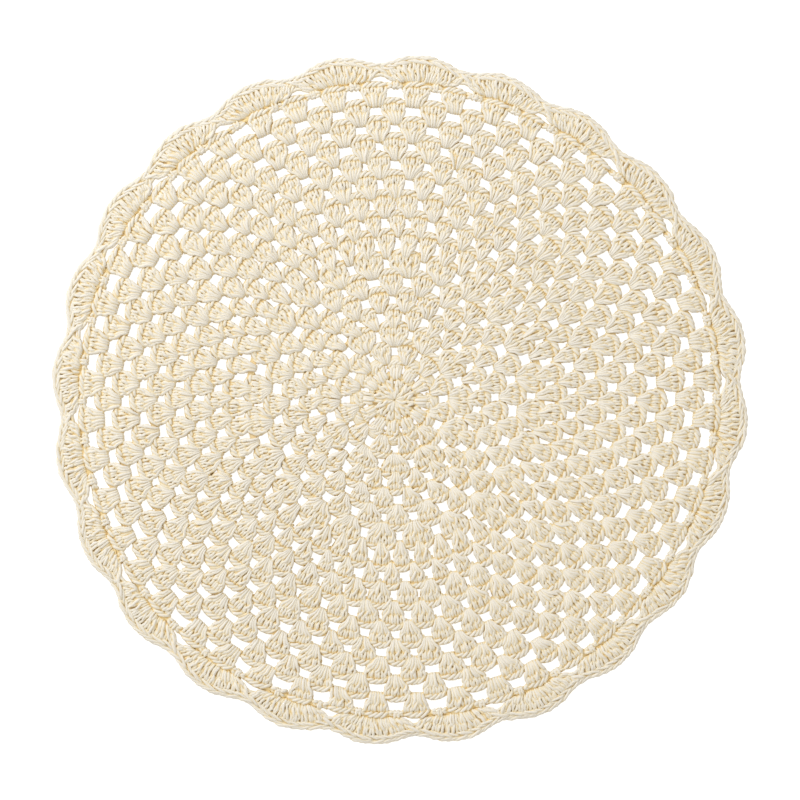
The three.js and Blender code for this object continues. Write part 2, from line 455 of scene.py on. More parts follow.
def cap_faces(strands, rings, sides, length):
    """A face to close each end of all tubes, with the same coordinates as the quads."""
    a = np.arange(sides)
    start = np.arange(strands)[:, None] * rings * sides
    first = start + a[::-1][None, :]
    last = start + (rings - 1) * sides + a[None, :]
    caps = np.stack([first, last], axis=1).reshape(-1, sides)
    turn = FULL_TURN * a / sides
    disc = np.stack([np.cos(turn), np.sin(turn)], axis=-1) * CELL_DISC
    cell = np.tile(np.stack([CELL_FIRST_END + disc[::-1], CELL_LAST_END + disc]), (strands, 1, 1))
    yarn = np.zeros((strands, 2, sides, 2))
    yarn[:, :, :, 0] = a / sides
    yarn[:, 1, :, 1] = length[:, -1, None]
    return caps, (yarn.reshape(-1, sides, 2), cell)


# Depth in the relief, on a map of small cells, which sets where highlight and shade are painted on the yarn.
# Valleys and hollows are filled up to twice so many cells.

SAMPLE_STEP = 0.6
FACE_CELL = 0.4
FACE_CELLS = 990
VALLEY_CELLS = 3
HOLLOW_CELLS = 7
OPEN_LEVEL = -9.0


def sampled(controls, radius, longest):
    """Places along the middle of each strand, close together, with the strand's radius there."""
    spans = int(np.ceil(longest / SAMPLE_STEP))
    both = np.concatenate([controls, radius[:, :, None]], axis=-1)
    return smooth_lines(both, spans).reshape(-1, 4)


def cell_of(points):
    return np.clip((points[:, :2] / FACE_CELL + FACE_CELLS / 2.0).astype(int), 0, FACE_CELLS - 1).T


def face_heights(samples, side):
    """Height of the upper face in each cell, where side is 1, or depth of the under face, where it is -1."""
    heights = np.full((FACE_CELLS, FACE_CELLS), OPEN_LEVEL)
    x, y = cell_of(samples)
    square = samples[:, 3] ** 2
    reach = int(np.ceil(samples[:, 3].max() / FACE_CELL))
    for dx in range(-reach, reach + 1):
        for dy in range(-reach, reach + 1):
            centre_x = (x + dx + 0.5 - FACE_CELLS / 2.0) * FACE_CELL
            centre_y = (y + dy + 0.5 - FACE_CELLS / 2.0) * FACE_CELL
            left = square - (centre_x - samples[:, 0]) ** 2 - (centre_y - samples[:, 1]) ** 2
            covered = left > 0.0
            top = side * samples[covered, 2] + np.sqrt(left[covered])
            np.maximum.at(heights, (x[covered] + dx, y[covered] + dy), top)
    return heights


def closed(heights, cells):
    """The same heights with valleys filled where they are narrower than twice so many cells."""
    reach = range(-cells, cells + 1)
    disc = [(dx, dy) for dx in reach for dy in reach if dx * dx + dy * dy <= cells ** 2 + 1]
    for best in (np.maximum, np.minimum):
        filled = heights
        for step in disc:
            filled = best(filled, np.roll(heights, step, (0, 1)))
        heights = filled
    return heights


def depth_below(points, faces):
    """How deep each point lies in a valley of the nearer face of the mat."""
    x, y = cell_of(points)
    upper, under = faces
    return np.minimum(upper[x, y] - points[:, 2], under[x, y] + points[:, 2])


# Meshes

def linked(name, data):
    """A new object in the scene."""
    obj = bpy.data.objects.new(name, data)
    bpy.context.scene.collection.objects.link(obj)
    return obj


def yarn_object(name, strands, material, faces, hollows):
    """A mesh of all strands. For its material it has yarn coordinates, each strand's tone, the depth of each
    point in its valley, and how low the ridge of its strand lies; the depths set its painted highlight and
    shade.
    """
    mesh = bpy.data.meshes.new(name)
    points = np.concatenate(strands.points)
    corners = np.concatenate(strands.polygons)
    sizes = np.concatenate(strands.sizes)
    mesh.vertices.add(len(points))
    mesh.vertices.foreach_set("co", (points * MM).ravel())
    mesh.loops.add(len(corners))
    mesh.loops.foreach_set("vertex_index", corners.astype(np.int32))
    mesh.polygons.add(len(sizes))
    starts = np.concatenate([[0], np.cumsum(sizes)[:-1]])
    mesh.polygons.foreach_set("loop_start", starts.astype(np.int32))
    mesh.polygons.foreach_set("use_smooth", np.ones(len(sizes), dtype=bool))
    across = int(np.ceil(np.sqrt(strands.cells)))
    bake = []
    for cell, uv in strands.cell_uv:
        corner = np.stack([cell % across, cell // across], axis=-1)
        bake.append(((corner[:, None] + uv) / across).reshape(-1, 2))
    for map_name, uv in (("OFBake", bake), ("Yarn", strands.yarn_uv)):
        uv_map = mesh.uv_layers.new(name=map_name)
        uv_map.data.foreach_set("uv", np.concatenate(uv).ravel())
    ridges = np.concatenate(strands.ridges)
    values = {
        "tone": np.concatenate(strands.tone),
        "depth": depth_below(points, faces),
        "low": depth_below(ridges, hollows) - ridges[:, 3],
    }
    for value_name, value in values.items():
        mesh.attributes.new(value_name, "FLOAT", "POINT").data.foreach_set("value", value)
    mesh.update(calc_edges=True)
    mesh.validate()
    mesh.materials.append(material)
    return linked(name, mesh)


# Stitches. Along a cluster, t is the distance to the right as seen from the middle of the mat.

def at(radius, angle, t, height):
    return placed(radius, angle - t / radius, height)


def staggered(seams, number):
    """Places of the seams between legs, from -1 to 1, and which of them have a pit in the upper row."""
    seam = np.arange(seams)
    in_upper_row = (seam + rng.integers(0, 2, number)[:, None]) % 2 == 1
    return (seam + 0.5) * 2.0 / seams - 1.0, in_upper_row


def pit_strength(shape):
    return (rng.uniform(size=shape) < PIT_SHARE) * (1.0 + noise(PIT_STRENGTH_STRAY, *shape))


def leg_pits(i, half_mid, half_hi):
    """Pits between the legs of each cluster: places across, radii, strengths, step from leg to leg."""
    row = ROUNDS[i]
    seams = 2 * row[STITCHES] + 1
    place, in_upper_row = staggered(seams, row[CLUSTERS])
    across = place * np.where(in_upper_row, half_hi, half_mid)
    radius = np.where(in_upper_row, outer_edge(i) + PIT_UPPER_ROW, row[GAP_RADIUS])
    radius = radius + noise(PIT_STRAY, *across.shape)
    return across, radius, pit_strength(across.shape), 2.0 * half_hi / seams


def parted(t, along, pits):
    """Places across, moved away from the pits, and how near a pit each one lies."""
    pit_across, pit_along, strength = (p[:, None, None, :] for p in pits[:3])
    leg_pitch = pits[3]
    beside = (t[..., None] - pit_across) / (PIT_REACH * leg_pitch)
    near = strength * np.exp(-beside ** 2 - ((along[..., None] - pit_along) / PIT_LENGTH) ** 2)
    return t + PIT_PUSH * leg_pitch * np.sum(np.sign(beside) * near, axis=-1), near.max(axis=-1)


def add_cluster_legs(strands, i):
    """Two tiers of legs: the lower wraps round the chain before it, the upper goes under the cap."""
    row = ROUNDS[i]
    number, stitches = row[CLUSTERS], row[STITCHES]
    lo, mid = inner_edge(i), row[GAP_RADIUS]
    head, bar = head_before(i), bar_radius(i - 1)
    gap_before = ROUNDS[i - 1][GAP_OUTER] if i > 0 else MIDDLE_ROOT_GAP
    half_root = max(gap_before + ROOT_SPARE, ROOT_STITCH * stitches) / 2.0 - LEG_RADIUS
    half_lo = half_inner(i) - LEG_MARGINS[i]
    half_hi = half_outer(i) - LEG_MARGINS[i]
    half_mid = (half_lo + half_hi) / 2.0
    opened = half_root + (half_lo - half_root) * (EARLY_OPENED if i < EARLY_ROUNDS else OPENED)
    lower = (
        # radius, height, share of the way from root to own angle, half width, share of the root's bulge
        (bar + 0.4, 0.85, 0.0, half_root, 1.0),
        (head + 0.6, 1.7, 0.0, half_root, 1.0),
        (head + 0.7, 3.2, 0.0, half_root, 1.0),
        (head + 1.7, 4.3, 0.08, half_root, 0.7),
        (bar + 1.4, 4.5, 0.35, opened, 0.2),
        (lo + 0.2, 4.2, 0.85, half_lo, 0.0),
        (mid - 0.3, 3.7, 0.95, half_mid, 0.0),
        (mid + 1.0, 2.7, 1.0, half_mid, 0.0),
    )
    foot = lo - UPPER_FOOT
    climb = cap_crown(i) - CAP_WIDTH / 2.0 + UPPER_TOP - lo
    upper = (
        (foot, 2.7, 0.85, half_lo, 0.0),
        (foot + 0.29 * climb, 3.5, 0.95, half_mid, 0.0),
        (foot + 0.44 * climb, 4.0, 1.0, half_mid, 0.0),
        (foot + 0.59 * climb, 4.15, 1.0, half_hi, 0.0),
        (foot + 0.69 * climb, 4.0, 1.0, half_hi, 0.0),
        (foot + 0.85 * climb, 3.2, 1.0, half_hi, 0.0),
        (foot + climb, 2.2, 1.0, half_hi * 0.97, 0.0),
    )
    bulge = FIRST_ROOT_BULGE if i == 0 else ROOT_BULGE
    body_fill = FIRST_LEG_FILL if i == 0 else LEG_FILL
    pits = leg_pits(i, half_mid, half_hi)
    for path, legs in ((lower, 2 * stitches), (upper, 2 * stitches + 2)):
        radius, height, share, half, at_root = columns(path)
        at_end = np.append(np.zeros(len(path) - 1), 1.0)
        fill = np.where(at_root > 0.0, ROOT_FILL, body_fill)
        step = 2.0 * half / (legs - 1)
        leg = np.arange(legs)[:, None]
        place = leg + noise(LEG_STRAY, number, legs, 1) + noise(LEG_WAVER, number, legs, len(path))
        r = radius + noise(TIER_STRAY, number, 1, 1) + noise(LEG_END_STRAY, number, legs, 1) * at_end
        t, near = parted(np.clip(place, -EDGE_LEG, legs - 1 + EDGE_LEG) * step - half, r, pits)
        thick = np.clip(fill * step, THIN_LEG, THICK_LEG) * (1.0 - PIT_THINNING * near)
        z = domed(i, height + noise(LEG_HEIGHT_STRAY, number, legs, 1), t, half_hi)
        z = np.maximum(z, thick * LOWEST)
        r = r + bulge * at_root * (leg / (legs - 1) * 2.0 - 1.0) ** 2
        t = t * cluster_widths(i)[:, None, None]
        strands.add(at(r, swung(i, share), t, z), thick, len(path) - 1, LEG_SIDES)
    add_slants(strands, i, (half_lo, half_hi), pits)


def slant_places(stitches, beside, stray, shape):
    """Places from -1 to 1 along slanting strands, one to a stitch of two legs."""
    last = 2.0 * stitches - 1.0
    leg = 2.0 * np.arange(stitches)[:, None] + beside + noise(stray, *shape)
    return np.clip(leg, 0.0, last) / last * 2.0 - 1.0


def add_most(strands, points):
    """Adds most of the slanting strands, and leaves out the rest."""
    points = points.reshape(-1, *points.shape[-2:])
    shown = rng.uniform(size=len(points)) < SLANT_SHARE
    strands.add(points[shown], SLANT_RADIUS, LINK_SPANS, LINK_SIDES)


def add_slants(strands, i, halves, pits):
    """A short strand that slants over the two legs of most stitches, where the tiers meet."""
    number, stitches = ROUNDS[i][CLUSTERS], ROUNDS[i][STITCHES]
    half_lo, half_hi = halves
    lo, hi, mid = inner_edge(i), outer_edge(i), ROUNDS[i][GAP_RADIUS]
    path = (
        # radius, height, half width, places of legs from the stitch's first leg
        (lo - 1.2, 3.3, half_lo, -0.1),
        (lo + 0.2, 4.2, half_lo, 0.1),
        (mid + 0.2, 4.5, half_hi, 0.55),
        (hi - 0.4, 4.2, half_hi, 1.0),
        (hi + 0.9, 3.3, half_hi, 1.2),
    )
    radius, height, half, beside = columns(path)
    shape = (number, stitches, 1)
    place = slant_places(stitches, beside, SLANT_ASIDE_STRAY, shape)
    r = radius + noise(SLANT_STRAY, *shape)
    t, _ = parted(place * half, r, pits)
    t = t * cluster_widths(i)[:, None, None]
    z = domed(i, height + noise(SLANT_HEIGHT_STRAY, *shape), t, half_hi)
    add_most(strands, at(r, cluster_angles(i)[:, None, None], t, z))


def add_cluster_backs(strands, i):
    """One thick strand behind each stitch."""
    number, stitches = ROUNDS[i][CLUSTERS], ROUNDS[i][STITCHES]
    head = head_before(i)
    half_root = stitches * BACK_ROOT_STITCH
    half_lo = half_inner(i) - BACK_RADIUS - BACK_MARGIN
    half_hi = half_outer(i) - BACK_RADIUS - BACK_MARGIN
    path = (
        # radius, height, share of the way from root to own angle, half width
        (head + 1.4, 1.9, 0.0, half_root),
        (head + 2.4, 1.15, 0.2, half_root),
        (inner_edge(i), 1.15, 0.9, half_lo),
        (outer_edge(i), 1.15, 1.0, half_hi),
        (bar_radius(i) + 0.3, 1.8, 1.0, half_hi),
    )
    radius, height, share, half = columns(path)
    place = np.linspace(-1.0, 1.0, stitches)
    t = place[None, :, None] * half + noise(BACK_STRAY, number, stitches, 1)
    strands.add(at(radius, swung(i, share), t, height), BACK_RADIUS, BACK_SPANS, BACK_SIDES)


LINK_ALONG = np.array([-1.5, -0.8, 0.0, 0.8, 1.5])
CHAIN_LINK = (
    # distance outwards along a link, and lift, for each of its strands
    ((1.0, 1.0, 0.7, 0.25, 0.0), (-0.9, 0.0, 0.3, 0.1, -0.9)),
    ((-1.0, -1.0, -0.7, -0.25, 0.0), (-0.9, 0.0, 0.3, 0.1, -0.9)),
)
ROPE_LINK = (
    ((-1.05, -0.75, 0.0, 0.65, 0.95), (-0.4, 0.0, 0.1, 0.0, -0.4)),
)
EDGE_LINK = (
    ((-0.9, -1.05, -0.35, 0.55, 0.95), (-0.7, -0.15, 0.15, 0.0, -0.4)),
)


def add_links(strands, places, centre_line, reach, link, spread, thick=LINK_RADIUS):
    """Links with their middles at some places of a line, which gives a place's radius, angle and height."""
    for outwards, lift in link:
        radius, angle, height = centre_line(places[:, None] + LINK_ALONG * reach)
        radius = radius + np.array(outwards) * spread + noise(LINK_STRAY, len(places), 1)
        height = height + np.array(lift) + noise(LINK_STRAY, len(places), 1)
        strands.add(placed(radius, angle, height), thick, LINK_SPANS, LINK_SIDES)


def keyed(p, key, number):
    """Which of a number of stretches each place lies in, and where along it."""
    stretch = np.clip(np.round(p / key).astype(int), 0, number - 1)
    return stretch, p - stretch * key


def add_cluster_tops(strands, i):
    """The chain of links that arches over each cluster, and the cords under it."""
    number = ROUNDS[i][CLUSTERS]
    links = ROUNDS[i][STITCHES] + 1
    half = (half_outer(i) + CAP_OVERHANG) * cluster_widths(i)
    crown = cap_crown(i)
    drop = max(crown - (outer_edge(i) + CAP_FOOT), CAP_LEAST_DROP)
    own = cluster_angles(i)
    shift = noise(EARLY_CAP_SHIFT if i < EARLY_CAPS else CAP_SHIFT, number)
    middles = np.arange(number)[:, None] * CAP_KEY
    places = CAP_REACH * (2.0 * (np.arange(links) + 0.5) / links - 1.0)

    def line(p):
        cluster, a = keyed(p, CAP_KEY, number)
        radius = crown - drop * np.abs(a) ** CAP_ARCH_POWER + shift[cluster]
        return radius, own[cluster] - a * half[cluster] / radius, CAP_HEIGHT - CAP_DOME * a ** 2

    add_links(strands, (middles + places).ravel(), line, CAP_LINK_REACH / links, ROPE_LINK, CAP_SPREAD)
    radius, angle, height = line(middles + np.linspace(-CAP_CORD_HALF, CAP_CORD_HALF, CORD_POINTS))
    for outwards, lift in FIRST_CORDS if i == 0 else CAP_CORDS:
        strands.add(placed(radius + outwards, angle, height + lift), LINK_RADIUS, CORD_SPANS, LINK_SIDES)


def add_bars(strands, i):
    """The chain between two clusters, which the next round is worked round."""
    own = cluster_angles(i)
    between = midway(own)
    half_way = (between - own)[:, None] * outer_edge(i)
    reach = np.maximum(half_way - half_outer(i), BAR_LEAST) + BAR_OVERLAP
    end, middle = outer_edge(i) + BAR_RISE, bar_radius(i) - BAR_SAG
    radius = np.array([end, middle, middle, end])
    points = at(radius, between[:, None], BAR_PLACES * reach, BAR_HEIGHT)
    strands.add(points, BAR_RADIUS, BAR_SPANS, LINK_SIDES)


def add_round(strands, i):
    add_cluster_legs(strands, i)
    add_cluster_backs(strands, i)
    add_cluster_tops(strands, i)
    add_bars(strands, i)


# Middle rosette. Places and their strays are shares of the way from post to post.

MIDDLE_INNER = (
    # radius, height, thickness, distance from the middle of the post
    (0.4, 3.5, 0.45, 0.25),
    (1.7, 3.9, 0.6, 0.25),
    (3.3, 4.1, 0.8, 0.25),
    (5.0, 4.0, 0.95, 0.24),
    (6.8, 3.3, 0.95, 0.23),
)
MIDDLE_OUTER = (
    (4.2, 3.0, 0.85, 0.25),
    (6.0, 3.8, 1.0, 0.25),
    (8.0, 4.0, 1.15, 0.25),
    (10.0, 3.8, 1.25, 0.24),
    (11.6, 3.3, 1.15, 0.23),
    (12.8, 2.5, 1.0, 0.22),
)
MIDDLE_BETWEEN = (
    (11.2, 2.8, 0.8, 0.1),
    (12.2, 3.6, 0.95, 0.09),
    (13.0, 3.7, 1.0, 0.07),
    (13.8, 3.3, 0.95, 0.05),
    (14.6, 2.6, 0.8, 0.05),
)
MIDDLE_SLANT = (
    (3.2, 3.3, 0.75, 0.3),
    (4.3, 4.25, 0.85, 0.2),
    (5.4, 4.5, 0.95, 0.0),
    (6.6, 4.25, 0.95, -0.2),
    (7.6, 3.3, 0.9, -0.3),
)
MIDDLE_OUTER_SLANT = (
    (7.4, 3.2, 0.85, 0.32),
    (8.4, 4.2, 0.95, 0.2),
    (9.5, 4.45, 1.0, 0.0),
    (10.6, 4.1, 1.0, -0.2),
    (11.4, 3.2, 0.9, -0.3),
)
MIDDLE_TIERS = (
    # strands of a post, and the sides of the post that they lie on
    (MIDDLE_INNER, (-1.0, 1.0)),
    (MIDDLE_OUTER, (-1.0, 1.0)),
    (MIDDLE_BETWEEN, (-1.0, 1.0)),
    (MIDDLE_SLANT, (1.0,)),
    (MIDDLE_OUTER_SLANT, (1.0,)),
)
MIDDLE_LEAN = 0.012
MIDDLE_STRAY = 0.055
MIDDLE_WAVER = 0.03
MIDDLE_HEIGHT_STRAY = 0.2
# Stray outwards, as a share of the radius up to a limit
MIDDLE_REACH_STRAY = 0.07
MIDDLE_REACH_LIMIT = 8.0


def add_middle(strands):
    """Posts of two tiers of legs round the middle, with a slanting strand over each of them."""
    posts = midway(cluster_angles(0))
    pitch = FULL_TURN / len(posts)
    for path, sides in MIDDLE_TIERS:
        radius, height, thick, beside = columns(path)
        shape = (len(posts), len(sides), 1)
        place = np.array(sides)[:, None] * beside + noise(MIDDLE_STRAY, *shape)
        place = place + noise(MIDDLE_WAVER, len(posts), len(sides), len(path))
        place = place + MIDDLE_LEAN * (radius - radius[-1])
        angle = posts[:, None, None] - pitch * place
        reach = radius + noise(MIDDLE_REACH_STRAY, *shape) * np.minimum(radius, MIDDLE_REACH_LIMIT)
        z = height + noise(MIDDLE_HEIGHT_STRAY, *shape)
        strands.add(placed(reach, angle, z), thick, LEG_SPANS, LEG_SIDES)
        if path is MIDDLE_OUTER:
            back = placed(reach, angle, BACK_HEIGHT)[:, :, 1:]
            strands.add(back, BACK_RADIUS, BACK_SPANS, BACK_SIDES)


# Border: a chain round, then shells with a chain edge

BORDER_CHAIN_RADIUS = 174.1
BORDER_CHAIN_HEIGHT = 3.7
# How far the chain bends inwards and sinks, for each square mm from the middle of its stretch
BORDER_CHAIN_BEND = 0.02
BORDER_CHAIN_SINK = 0.05
# Links of a stretch. Their stray and reach are shares of the pitch.
BORDER_CHAIN_LINKS = 3
BORDER_LINK_PITCH = 3.0
BORDER_LINK_STRAY = 0.08
BORDER_LINK_REACH = 0.42
BORDER_LINK_SPREAD = 1.1
# Places of neighbouring stretches are so far apart in one row of places
BORDER_KEY = 10.0
BORDER_WRAP = (
    # radius, height
    (175.2, 1.1),
    (172.5, 1.3),
    (172.4, 2.8),
    (173.2, 3.9),
    (175.0, 4.35),
    (176.6, 3.8),
    (177.2, 2.6),
)
WRAP_PLACES = np.array([-0.85, 0.85])
WRAP_RADIUS = 0.85
WRAP_STRAY = 0.2
# Cord under the border chain. Its half length is a share of the way from shell to shell.
BASE_CORD_RADIUS = 174.6
BASE_CORD_HEIGHT = 2.6
BASE_CORD_HALF = 0.52
BASE_CORD_SPANS = 8
# Links at the feet of each shell. Their reach and half length are shares of the way from shell to shell.
BASE_LINKS = 7
BASE_LINK_RADIUS = 176.3
BASE_LINK_HEIGHT = 2.55
BASE_LINK_SPREAD = 0.85
BASE_LINK_THICK = 0.85
BASE_LINK_REACH = 0.048
BASE_LINKS_HALF = 0.28


def add_border_chain(strands):
    """The links between the last clusters, and the two strands wrapped round the middle of each stretch."""
    gaps = midway(cluster_angles(len(ROUNDS) - 1))
    number = len(gaps)
    links = np.arange(BORDER_CHAIN_LINKS) - (BORDER_CHAIN_LINKS - 1) / 2.0
    places = (np.arange(number)[:, None] * BORDER_KEY + links).ravel()
    places = places + noise(BORDER_LINK_STRAY, len(places))

    def line(p):
        gap, link = keyed(p, BORDER_KEY, number)
        t = link * BORDER_LINK_PITCH
        radius = BORDER_CHAIN_RADIUS - BORDER_CHAIN_BEND * t ** 2
        return radius, gaps[gap] - t / radius, BORDER_CHAIN_HEIGHT - BORDER_CHAIN_SINK * t ** 2

    add_links(strands, places, line, BORDER_LINK_REACH, CHAIN_LINK, BORDER_LINK_SPREAD)
    radius, height = columns(BORDER_WRAP)
    t = WRAP_PLACES[None, :, None] + noise(WRAP_STRAY, number, len(WRAP_PLACES), 1)
    strands.add(at(radius, gaps[:, None, None], t, height), WRAP_RADIUS, LEG_SPANS, LEG_SIDES)


def add_shell_feet(strands):
    """A cord under the border chain, and a row of short links between the chain and each shell."""
    def line(p):
        turn = rad(SHELL_PEAK_DEG) + FULL_TURN * p / SHELLS
        return np.full(p.shape, BASE_LINK_RADIUS), turn, np.full(p.shape, BASE_LINK_HEIGHT)

    shells = np.arange(SHELLS)[:, None]
    places = (shells + np.linspace(-BASE_LINKS_HALF, BASE_LINKS_HALF, BASE_LINKS)).ravel()
    add_links(strands, places, line, BASE_LINK_REACH, ROPE_LINK, BASE_LINK_SPREAD, BASE_LINK_THICK)
    _, turn, _ = line(shells + np.linspace(-BASE_CORD_HALF, BASE_CORD_HALF, CORD_POINTS))
    strands.add(placed(BASE_CORD_RADIUS, turn, BASE_CORD_HEIGHT), LINK_RADIUS, BASE_CORD_SPANS, LINK_SIDES)


# Shells. Across a shell, t is the distance at its middle radius.

SHELL_STITCHES = 13
SHELL_BASE_RADIUS = 175.9
SHELL_LENGTH = 10.0
SHELL_MIDDLE_RADIUS = SHELL_BASE_RADIUS + SHELL_LENGTH / 2.0
SHELL_FOOT_RISE = 1.0
SHELL_LATE = 1.2
SHELL_SIDE_POWER = 3
SHELL_TOP_INSET = 1.2
SHELL_BASE_HALF_DEG = 4.85
SHELL_TOP_HALF_DEG = 7.2
SHELL_FAN_POWER = 0.92
SHELL_FILL = 0.92
SHELL_PIT = 0.9
# Shares of the climb where the two rows of pits lie
SHELL_PIT_LOWER = 0.5
SHELL_PIT_UPPER = 0.8
SHELL_PIT_STRAY = 0.05
SHELL_STRAY_DEG = 0.11
SHELL_WAVER_DEG = 0.07
SHELL_REACH_STRAY = 0.2
SHELL_HEIGHT_STRAY = 0.25
SHELL_LOWER = (
    # share of the climb, height, share of the swing from base to top angle, thickness
    (-0.1, 0.95, 0.0, 0.85),
    (0.0, 1.4, 0.0, 0.9),
    (0.04, 2.5, 0.0, 0.95),
    (0.13, 3.7, 0.06, 1.0),
    (0.3, 4.15, 0.3, 1.05),
    (0.45, 4.0, 0.5, 1.1),
    (0.55, 3.6, 0.62, 1.15),
    (0.7, 2.7, 0.8, 1.1),
)
SHELL_UPPER = (
    (0.38, 2.7, 0.42, 1.0),
    (0.5, 3.5, 0.55, 1.05),
    (0.6, 4.0, 0.68, 1.1),
    (0.72, 4.1, 0.8, 1.15),
    (0.83, 3.9, 0.9, 1.15),
    (0.94, 3.3, 0.97, 1.1),
    (1.03, 2.6, 1.0, 1.0),
)
SHELL_SLANT = (
    # share of the climb, height, places of legs from the stitch's first leg
    (0.2, 3.3, -0.2),
    (0.34, 4.2, 0.05),
    (0.5, 4.5, 0.5),
    (0.66, 4.2, 0.95),
    (0.8, 3.3, 1.2),
)
SHELL_SLANT_SWING = 1.1
SHELL_SLANT_ASIDE_STRAY = 0.2
SHELL_SLANT_CLIMB_STRAY = 0.07
VALLEY_STRANDS = (
    # each with degrees from the valley, radius, height
    ((-3.4, 177.0, 2.4), (-1.9, 179.0, 3.4), (-0.2, 180.3, 3.6), (1.6, 179.4, 3.4), (2.8, 177.2, 2.4)),
    ((-1.6, 179.9, 3.0), (-1.0, 180.9, 4.1), (-0.2, 182.3, 4.3), (0.6, 183.9, 4.0), (1.2, 185.0, 2.9)),
    ((1.5, 180.2, 2.8), (1.0, 181.3, 3.9), (0.3, 182.8, 3.7), (-0.5, 184.3, 3.9), (-1.0, 185.2, 2.8)),
    ((-0.5, 180.4, 2.8), (-0.4, 181.6, 3.8), (-0.3, 183.2, 3.9), (-0.2, 185.0, 2.9)),
)
VALLEY_STRAY_DEG = 0.15
VALLEY_STRAY = 0.2
VALLEY_HEIGHT_STRAY = 0.1


def shell_half(climb):
    """Half the angle of a shell in degrees at a share of the climb."""
    return SHELL_BASE_HALF_DEG + (SHELL_TOP_HALF_DEG - SHELL_BASE_HALF_DEG) * climb


def shell_radius(place, angle, climb):
    """Radius at a share of the climb from the foot of a shell to its top. Legs near its sides rise later."""
    aside = np.abs(place) ** SHELL_SIDE_POWER
    foot = SHELL_BASE_RADIUS + SHELL_FOOT_RISE * aside
    top = edge_radius(angle) - EDGE_CHAIN_INSET - SHELL_TOP_INSET
    rise = np.sign(climb) * np.abs(climb) ** (1.0 + SHELL_LATE * aside)
    return foot + (top - foot) * rise


def shell_pits():
    """Pits between the legs of each shell, as leg_pits gives them for clusters."""
    seams = 2 * SHELL_STITCHES + 3
    place, in_upper_row = staggered(seams, SHELLS)
    climb = np.where(in_upper_row, SHELL_PIT_UPPER, SHELL_PIT_LOWER)
    climb = climb + noise(SHELL_PIT_STRAY, SHELLS, seams)
    across = place * rad(shell_half(climb)) * SHELL_MIDDLE_RADIUS
    leg_pitch = 2.0 * rad(SHELL_TOP_HALF_DEG) * SHELL_MIDDLE_RADIUS / seams
    return across, climb * SHELL_LENGTH, SHELL_PIT * pit_strength(across.shape), leg_pitch


def add_shells(strands):
    """Fans of legs in two tiers, worked round the border chain and tucked under the edge chain."""
    pits = shell_pits()
    for path, legs in ((SHELL_LOWER, 2 * SHELL_STITCHES), (SHELL_UPPER, 2 * SHELL_STITCHES + 4)):
        climb, height, swing, thick = columns(path)
        place = np.linspace(-1.0, 1.0, legs)[:, None]
        base_deg = place * SHELL_BASE_HALF_DEG
        top_deg = np.sign(place) * np.abs(place) ** SHELL_FAN_POWER * SHELL_TOP_HALF_DEG
        deg = base_deg + (top_deg - base_deg) * swing
        deg = deg + noise(SHELL_STRAY_DEG, SHELLS, legs, 1) * swing
        deg = deg + noise(SHELL_WAVER_DEG, SHELLS, legs, len(path))
        along = np.broadcast_to(climb * SHELL_LENGTH, deg.shape)
        t, near = parted(rad(deg) * SHELL_MIDDLE_RADIUS, along, pits)
        angle = SHELL_PEAKS[:, None, None] + t / SHELL_MIDDLE_RADIUS
        radius = shell_radius(place, angle, climb) + noise(SHELL_REACH_STRAY, SHELLS, legs, 1)
        thick = SHELL_FILL * thick
        z = np.maximum(height + noise(SHELL_HEIGHT_STRAY, SHELLS, legs, 1), thick * LOWEST)
        thinned = thick * (1.0 - PIT_THINNING * near)
        strands.add(placed(radius, angle, z), thinned, len(path) - 1, LEG_SIDES)
        if path is SHELL_LOWER:
            back = placed(radius, angle, BACK_HEIGHT)[:, ::2, 2:]
            strands.add(back, BACK_RADIUS, BACK_SPANS, BACK_SIDES)
    add_shell_slants(strands, pits)


def add_shell_slants(strands, pits):
    """A short strand that slants over the two legs of most stitches in the shells."""
    climb, height, beside = columns(SHELL_SLANT)
    shape = (SHELLS, SHELL_STITCHES, 1)
    place = slant_places(SHELL_STITCHES, beside, SHELL_SLANT_ASIDE_STRAY, shape)
    climb = climb + noise(SHELL_SLANT_CLIMB_STRAY, *shape)
    half = shell_half(np.clip(SHELL_SLANT_SWING * climb, 0.0, 1.0))
    t, _ = parted(rad(place * half) * SHELL_MIDDLE_RADIUS, climb * SHELL_LENGTH, pits)
    angle = SHELL_PEAKS[:, None, None] + t / SHELL_MIDDLE_RADIUS
    z = height + noise(SLANT_HEIGHT_STRAY, *shape)
    add_most(strands, placed(shell_radius(place, angle, climb), angle, z))


def add_valleys(strands):
    """A strand that arches over the gap in each valley, and the joint of the two shells above it."""
    valleys = midway(SHELL_PEAKS)
    for path in VALLEY_STRANDS:
        deg, radius, height = columns(path)
        angle = valleys[:, None] + rad(deg + noise(VALLEY_STRAY_DEG, SHELLS, 1))
        radius = radius + noise(VALLEY_STRAY, SHELLS, 1)
        points = placed(radius, angle, height + noise(VALLEY_HEIGHT_STRAY, SHELLS, 1))
        strands.add(points, LINK_RADIUS, LINK_SPANS, LINK_SIDES)


# Edge chain. EDGE_LINK_REACH and EDGE_LINK_STRAY are shares of the way from link to link.

EDGE_LINKS_PER_SHELL = 12
EDGE_LINK_REACH = 0.78
EDGE_LINK_STRAY = 0.2
EDGE_ROWS = (
    # distance inwards from the edge, height, spread of the links, radius of their strands
    (1.6, 3.6, -0.85, 0.95),
    (3.4, 3.95, 0.9, 0.9),
)
EDGE_CHAIN_INSET = 1.97
EDGE_CHAIN_HEIGHT = 3.7
# Cords under the links: distance outwards, lift. Their half length is a share of a shell.
EDGE_CORDS = ((0.6, -0.4), (-1.0, -0.9))
EDGE_CORD_HALF = 0.52
EDGE_CORD_POINTS = 9
EDGE_CORD_SPANS = 12


